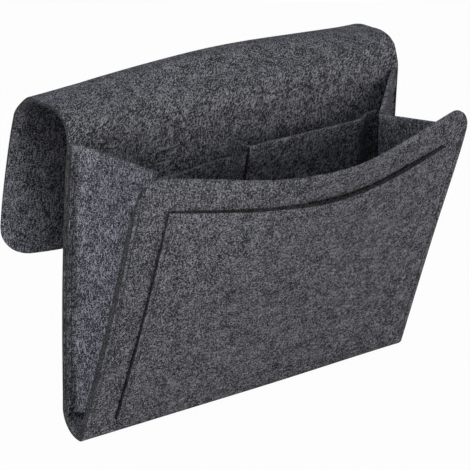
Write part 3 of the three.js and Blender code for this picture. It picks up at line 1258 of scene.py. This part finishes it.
@dataclass
class LeftPocket:
    """The left inner pocket, flat at its left and drawn forward along the box pocket's wall.

    Attributes:
        edge: How far left it reaches.
        wall: Where the box pocket's wall stands.
        foot: Height of its lower edge.
        top: Height of its mouth on the back.
        rise: How much higher its mouth is sewn at the wall's front.
        gape: How far its mouth stands open.
        reach: How far the wall stands out at the box pocket's mouth, and that mouth's height.
        least_out: How far it is drawn forward at its foot.
        ease: How far from the wall it starts to turn.
        pull: How deep its seam draws the felt in, as a share of a whole groove.
    """

    edge: float = -136.0
    wall: float = -12.9
    foot: float = -182.0
    top: float = -39.0
    rise: float = 9.0
    gape: float = 7.5
    reach: Span = (22.0, -24.0)
    least_out: float = 0.5
    ease: float = 14.0
    pull: float = 0.5

    def _row(self, share: float) -> list[Vector]:
        """Points across the pocket.

        Args:
            share: Share of its height.

        Returns:
            The points, from its left edge to the wall's front.
        """
        sewn = -LAYER - FELT / 2
        out, high = self.reach
        wall_share = share * (self.top + self.rise - self.foot) / (high - self.foot)
        front = sewn - max(out * wall_share, self.least_out)
        corners = [(self.edge, sewn), (self.wall, sewn), (self.wall, front)]
        points = rounded_line([Vector((x, y, 0)) for x, y in corners], [self.ease], [26, 6])
        for point in points:
            across = clamped((point.x - self.edge) / (self.wall - self.edge))
            forward = (sewn - point.y) / out
            top = self.top + self.rise * forward
            point.y -= self.gape * math.sin(math.pi * across) ** 2 * share**2
            point.y += self.pull * groove(point.x - self.edge - SEAM_INSET)
            point.z = self.foot + share * (top - self.foot)
        return points

    def build(self, cloth: Cloth) -> bpy.types.Object:
        """Makes the pocket.

        Args:
            cloth: The felt.

        Returns:
            The finished piece.
        """
        grid = [self._row(share) for share in steps(0, 1, 28)]
        sheet = FeltSheet("left_pocket_felt", grid, frozenset({Side.RIGHT}))
        piece = sheet.build(cloth)
        sheet.declare(piece, "stretched", ["back_top_felt"])
        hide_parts("left_pocket")
        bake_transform(piece)
        return piece


@dataclass
class RightPocket:
    """The deep pocket on the right of the back, with a wall on either side.

    Attributes:
        divider: Left face of the wall beside the left pocket.
        wall_start: Share of its height at which that wall starts.
        wall_gap: Gap between that wall and the back.
        corner: Right end of its face.
        flange: Span of the flange that is sewn to the back.
        foot: Height of its lower edge.
        top: Height of its mouth.
        flange_top: Height of the flange's upper end.
        depth: How far its mouth stands out.
        slit: Gap between its face and the wall beside the left pocket.
        eases: How far from its two corners the felt starts to turn.
        pull: How deep its seam draws the felt in, as a share of a whole groove.
    """

    divider: float = -11.0
    wall_start: float = 0.08
    wall_gap: float = 0.1
    corner: float = 105.0
    flange: Span = (127.0, 140.0)
    foot: float = -182.0
    top: float = -24.0
    flange_top: float = -30.0
    depth: float = 22.0
    slit: float = 1.2
    eases: Span = (5.0, 4.0)
    pull: float = 0.6

    def build(self, cloth: Cloth) -> list[bpy.types.Object]:
        """Makes the strip of face, end wall and flange, and the wall beside the left pocket.

        Args:
            cloth: The felt.

        Returns:
            The two pieces.
        """
        strip = FeltSheet("right_pocket_felt", [self._row(share) for share in steps(0, 1, 30)])
        rows = [self._wall_row(share) for share in steps(self.wall_start, 1, 30)]
        wall = FeltSheet("right_pocket_wall_felt", rows, frozenset({Side.LEFT, Side.RIGHT}))
        pieces = []
        ends = ("right_pocket_front", "right_pocket_end_wall", "right_pocket_flange")
        for sheet, nodes in ((strip, ends), (wall, ("right_pocket_divider_wall",))):
            piece = sheet.build(cloth)
            sheet.declare(piece, "folded", ["back_top_felt"])
            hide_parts(*nodes)
            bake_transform(piece)
            pieces.append(piece)
        return pieces

    def _wall_row(self, share: float) -> list[Vector]:
        """Points along the wall beside the left pocket.

        Args:
            share: Share of its height.

        Returns:
            The points, from the back to the pocket's face.
        """
        x, z = self.divider + FELT / 2, self.foot + share * (self.top - self.foot)
        depths = steps(-LAYER - self.wall_gap, -LAYER - self.depth * share, 6)
        return [Vector((x, y, z)) for y in depths]

    def _row(self, share: float) -> list[Vector]:
        """Points across the face, the end wall and the flange.

        Args:
            share: Share of their height.

        Returns:
            The points, from the left to the right.
        """
        half = FELT / 2
        face = -LAYER - self.depth * share - half
        sewn = -LAYER - half
        low, high = self.corner, self.flange[0]
        plan = [(self.divider + self.slit, face), (low - half, face), (high, sewn), (self.flange[1], sewn)]
        points = rounded_line([Vector((x, y, 0)) for x, y in plan], self.eases, [24, 8, 6])
        for point in points:
            past = clamped((point.x - low) / (high - low))
            top = self.top + (self.flange_top - self.top) * past
            point.z = self.foot + share * (top - self.foot)
            point.y += groove(point.x - sum(self.flange) / 2) * self.pull
        return points


@dataclass
class Seam:
    """A row of stitches lying on felt.

    Attributes:
        name: The seam's name, which is its node's too.
        lines: Lines of points with the way off the felt at each.
        pitch: Distance from stitch to stitch.
        length: Length of a stitch.
        thread: Thickness of the thread.
        flatness: How flat the thread is pulled, as a share of its thickness.
        proud: How far off the line a stitch lies.
    """

    name: str
    lines: list[Line]
    pitch: float = 3.6
    length: float = 3.1
    thread: float = 0.9
    flatness: float = 0.7
    proud: float = 0.1

    def build(self, thread: bpy.types.Material) -> bpy.types.Object:
        """Makes one stitch, lays copies of it along the lines and joins them.

        Args:
            thread: The thread's material.

        Returns:
            The finished seam.
        """
        stitch = self._stitch()
        stitch.data.materials.append(thread)
        copies = []
        for place in (place for line in self.lines for place in self._places(line)):
            copy = stitch.copy()
            copy.data = stitch.data.copy()
            copy.data.transform(place)
            bpy.context.collection.objects.link(copy)
            copies.append(copy)
        bpy.data.objects.remove(stitch)
        bpy.ops.object.select_all(action="DESELECT")
        for copy in copies:
            copy.select_set(True)
        bpy.context.view_layer.objects.active = copies[0]
        bpy.ops.object.join()
        seam = bpy.context.object
        seam.name = f"{self.name}_stitches"
        bpy.ops.object.shade_smooth_by_angle(angle=math.radians(60))
        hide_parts(self.name)
        LOG.info("%s: %d stitches", seam.name, len(copies))
        return seam

    def _stitch(self) -> bpy.types.Object:
        """One stitch along X: a round end, a straight run and a round end, flattened on the felt.

        Returns:
            The stitch.
        """
        bpy.ops.object.select_all(action="DESELECT")
        bpy.ops.mesh.primitive_uv_sphere_add(segments=8, ring_count=6, radius=self.thread / 2 * MM)
        stitch = bpy.context.object
        bpy.ops.object.mode_set(mode="EDIT")
        bpy.ops.mesh.select_all(action="SELECT")
        bpy.ops.transform.rotate(value=math.pi / 2, orient_axis="Y", center_override=(0, 0, 0))
        bpy.ops.object.mode_set(mode="OBJECT")
        run = (self.length - self.thread) / 2 * MM
        for vertex in stitch.data.vertices:
            end = math.copysign(1, vertex.co.x) if abs(vertex.co.x) > 1e-6 else 0
            vertex.co.x += end * run
            vertex.co.z *= self.flatness
        return stitch

    def _places(self, line: Line) -> list[Matrix]:
        """Where each stitch lies, turned along the line and off the felt.

        Args:
            line: Points with the way off the felt at each.

        Returns:
            The stitches' places.
        """
        found = []
        walked = self.pitch / 2
        for (a, off_a), (b, off_b) in zip(line, line[1:]):
            length = (b - a).length
            along = (b - a).normalized()
            while walked < length:
                share = walked / length
                off = off_a.lerp(off_b, share)
                off = (off - along * off.dot(along)).normalized()
                place = Matrix((along, off.cross(along), off)).transposed().to_4x4()
                place.translation = (a.lerp(b, share) + off * self.proud) * MM
                found.append(place)
                walked += self.pitch
            walked -= length
        return found


@dataclass
class Sewing:
    """All the seams of the caddy.

    Attributes:
        front: The leaning front.
        outer: The pocket on the front.
        left: The flat inner pocket.
        right: The deep inner pocket.
        thread: The thread's material.
        sunk: How deep the stitches of the left and the right inner pocket lie.
        mouth_gap: How far below a pocket's mouth its seam starts.
        wall_gap: How far from the box pocket's wall the left pocket's seam ends.
        flange_gaps: How far from the flange's top and foot its seam starts and ends.
        mark: Corners of the small mark at the top of that seam.
    """

    front: Front
    outer: OuterPocket
    left: LeftPocket
    right: RightPocket
    thread: bpy.types.Material
    sunk: Span = (0.25, 0.3)
    mouth_gap: float = 2.0
    wall_gap: float = 20.0
    flange_gaps: Span = (3.0, 18.0)
    mark: tuple[Span, ...] = ((-4, 2), (0, -5), (4, 2))

    def build(self) -> list[bpy.types.Object]:
        """Makes every seam and fixes it to its body.

        Returns:
            The seams.
        """
        made = []
        for side, label in SIDES:
            made.append(self._ride(Seam(f"{label}_front_seam", self._front_lines(side)), "front"))
            made.append(self._ride(Seam(f"{label}_back_seam", self._back_lines(side)), "back"))
        made.append(self._ride(Seam("outer_pocket_seam", [self._outer_line()]), "front"))
        made.append(self._ride(Seam("left_pocket_seam", [self._left_line()]), "back"))
        made.append(self._ride(Seam("right_pocket_seam", self._right_lines()), "back"))
        return made

    def _ride(self, seam: Seam, body: str) -> bpy.types.Object:
        """Makes a seam that moves with a body."""
        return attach(seam.build(self.thread), body)

    def _front_lines(self, side: int) -> list[Line]:
        """The side seam of the front, on its outer face and on the flange behind it.

        Args:
            side: -1 on the left, 1 on the right.

        Returns:
            The two lines.
        """
        x = side * (HALF_WIDTH - SEAM_INSET)
        inward = self.front.inward()
        shown, hidden = [], []
        for up in steps(*FRONT_SEAM, 20):
            shown.append((self.front.point(x, up, GROOVE_DEPTH), -inward))
            hidden.append((self.front.point(x, up, LAYER + FELT), inward))
        return [shown, hidden]

    def _back_lines(self, side: int) -> list[Line]:
        """The side seam of the back, on its rear face and on the flange in front of it.

        Args:
            side: -1 on the left, 1 on the right.

        Returns:
            The two lines.
        """
        x = side * (HALF_WIDTH - SEAM_INSET)
        behind, before = [], []
        for z in steps(*BACK_SEAM, 20):
            moved = set_back(x, z)
            behind.append((Vector((x, GROOVE_DEPTH + moved, z)), Vector((0, 1, 0))))
            before.append((Vector((x, moved - LAYER - FELT, z)), Vector((0, -1, 0))))
        return [behind, before]

    def _outer_line(self) -> Line:
        """Down one side of the outer pocket, along its foot and up the other side.

        Returns:
            The line.
        """
        edge, foot = self.outer.half - SEAM_INSET, self.outer.foot + SEAM_INSET
        top = self.outer.top_at(edge) - self.mouth_gap
        route = [(-edge, up) for up in steps(top, foot, 30)]
        route += [(x, foot) for x in steps(-edge, edge, 40)[1:]]
        route += [(edge, up) for up in steps(foot, top, 30)[1:]]
        off = -self.front.inward()
        return [(self.front.point(x, up, self.outer.outer(x, up)), off) for x, up in route]

    def _left_line(self) -> Line:
        """Down the left side of the left pocket and along its foot.

        Returns:
            The line.
        """
        off = Vector((0, -1, 0))
        x, foot = self.left.edge + SEAM_INSET, self.left.foot + SEAM_INSET
        y = -LAYER - FELT + self.sunk[0]
        route = [(x, z) for z in steps(self.left.top - self.mouth_gap, foot, 20)]
        route += [(place, foot) for place in steps(x, self.left.wall - self.wall_gap, 20)[1:]]
        return [(Vector((place, y, z)), off) for place, z in route]

    def _right_lines(self) -> list[Line]:
        """The right pocket's seam down its flange, and the small mark at its top.

        Returns:
            The two lines.
        """
        off = Vector((0, -1, 0))
        x, y = sum(self.right.flange) / 2, -LAYER - FELT + self.sunk[1]
        above, below = self.flange_gaps
        top = self.right.flange_top - above
        down = [(Vector((x, y, z)), off) for z in steps(top, self.right.foot + below, 12)]
        mark = [(Vector((x + side, y, top + rise)), off) for side, rise in self.mark]
        return [down, mark]


@dataclass(frozen=True)
class Lamp:
    """A wide soft lamp.

    Attributes:
        name: Its name.
        place: Where it hangs.
        width: How wide it is.
        power: Its power in watts.
        colour: Its colour.
    """

    name: str
    place: Triple
    width: float
    power: float
    colour: Triple

    def hang(self, target: Vector) -> None:
        """Hangs the lamp so that it faces a target.

        Args:
            target: The target.
        """
        data = bpy.data.lights.new(self.name, "AREA")
        data.shape = "DISK"
        data.size = self.width * MM
        data.energy = self.power
        data.color = self.colour
        lamp = bpy.data.objects.new(self.name, data)
        place = Vector(self.place)
        lamp.location = place * MM
        lamp.rotation_euler = (target - place).to_track_quat("-Z", "Y").to_euler()
        bpy.context.collection.objects.link(lamp)


LAMPS = (
    Lamp("key", (-230, -2055, 97), 900, 20, (1.0, 0.99, 0.96)),
    Lamp("side", (-1980, 230, 60), 600, 39, (0.88, 0.91, 1.0)),
    Lamp("top", (-480, -900, 1820), 900, 12.5, (0.84, 0.89, 1.0)),
)


@dataclass
class Studio:
    """Camera, floor and soft light.

    Attributes:
        target: What the camera looks at.
        azimuth: How far left of the front it stands, in degrees.
        elevation: How far above it stands, in degrees.
        roll: How far it is tipped, in degrees.
        distance: How far off it stands.
        focal: Focal length in pixels of the photograph.
        frame_size: Width of the photograph in pixels.
        shift: How far the picture is shifted, in shares of its width.
        floor_gap: How far the floor lies below the caddy.
        floor_size: How wide the floor is, in metres.
        paint: Grey of the floor's paint, which takes the shadow.
        whiteness: How far the floor is seen as bare white.
        fill: Level of the even light all round.
        fill_colour: Its colour.
    """

    target: Vector = field(default_factory=lambda: Vector((0, 0, -120)))
    azimuth: float = 39.52
    elevation: float = 22.38
    roll: float = 2.37
    distance: float = 2329.42
    focal: float = 3000.0
    frame_size: float = 470.0
    shift: Span = (0.00585, 0.0320)
    floor_gap: float = 0.5
    floor_size: float = 12.0
    paint: float = 0.55
    whiteness: float = 0.97
    fill: float = 0.43
    fill_colour: Triple = (0.94, 0.95, 1.0)

    def build(self) -> None:
        """Sets up the camera, the floor, the lamps and the world."""
        self._camera()
        self._floor()
        for lamp in LAMPS:
            lamp.hang(self.target)
        self._world()
        bpy.context.scene.view_settings.view_transform = "Standard"

    def _camera(self) -> None:
        """Places the camera as the photograph's stood."""
        turn, lift, roll = (math.radians(a) for a in (self.azimuth, self.elevation, self.roll))
        away = Vector((-math.sin(turn) * math.cos(lift), -math.cos(turn) * math.cos(lift), math.sin(lift)))
        right = Vector((math.cos(turn), -math.sin(turn), 0))
        up = away.cross(right)
        across = right * math.cos(roll) + up * math.sin(roll)
        upright = up * math.cos(roll) - right * math.sin(roll)
        data = bpy.data.cameras.new("camera")
        data.sensor_width = 36.0
        data.lens = data.sensor_width * self.focal / self.frame_size
        data.shift_x, data.shift_y = self.shift
        data.clip_end = 50.0
        camera = bpy.data.objects.new("camera", data)
        place = Matrix((across, upright, away)).transposed().to_4x4()
        place.translation = (self.target + away * self.distance) * MM
        camera.matrix_world = place
        bpy.context.collection.objects.link(camera)
        bpy.context.scene.camera = camera

    def _white_rays(self, shader: Shader) -> Value:
        """Tells the rays that see the bare white studio from the rest.

        Args:
            shader: The floor's or the world's shader.

        Returns:
            One for those rays, and nothing for the rest.
        """
        seen: Value | None = None
        for ray in Ray:
            kind = shader.node("ShaderNodeLightPath", {}, {}, ray.value)
            seen = kind if seen is None else seen.most(kind)
        return seen

    def _floor(self) -> None:
        """Lays a plain white floor right under the caddy."""
        bpy.ops.object.select_all(action="DESELECT")
        low = CAD_BOX[0][2] - self.floor_gap * MM
        bpy.ops.mesh.primitive_grid_add(
            x_subdivisions=8, y_subdivisions=8, size=self.floor_size, location=(0, 0, low)
        )
        floor = bpy.context.object
        floor.name = "floor"
        material = bpy.data.materials.new("floor")
        shader = Shader(material)
        paint = shader.node("ShaderNodeBsdfDiffuse", {}, {"Color": (self.paint, self.paint, self.paint, 1)})
        white = shader.node("ShaderNodeEmission", {}, {"Color": (1, 1, 1, 1), "Strength": 1.0})
        share = self._white_rays(shader) * self.whiteness
        seen = shader.node("ShaderNodeMixShader", {}, {0: share, 1: paint, 2: white})
        shader.node("ShaderNodeOutputMaterial", {}, {"Surface": seen})
        floor.data.materials.append(material)

    def _world(self) -> None:
        """Fills the room with even white light."""
        world = bpy.data.worlds.new("studio")
        bpy.context.scene.world = world
        shader = Shader(world)
        white = self._white_rays(shader)
        level = white * (1 - self.fill) + self.fill
        colour = shader.mix(white, self.fill_colour, (1, 1, 1))
        light = shader.node("ShaderNodeBackground", {}, {"Color": colour, "Strength": level})
        shader.node("ShaderNodeOutputWorld", {}, {"Surface": light})


def main() -> None:
    """Builds the studio and every piece of the caddy."""
    logging.basicConfig(level=logging.INFO, format="%(message)s")
    Studio().build()
    cloth = Cloth(FeltFinish().make("felt"), EDGE_SHADE_FELT.make("edge_shade_felt"))
    front = Front()
    outer, left, right = OuterPocket(front), LeftPocket(), RightPocket()
    BodyStrip(front).build(cloth)
    for side, label in SIDES:
        Gusset(front, label, side).build(cloth)
    for pocket in (outer, left, right):
        pocket.build(cloth)
    Sewing(front, outer, left, right, ThreadFinish().make()).build()


if __name__ == "__main__":
    main()
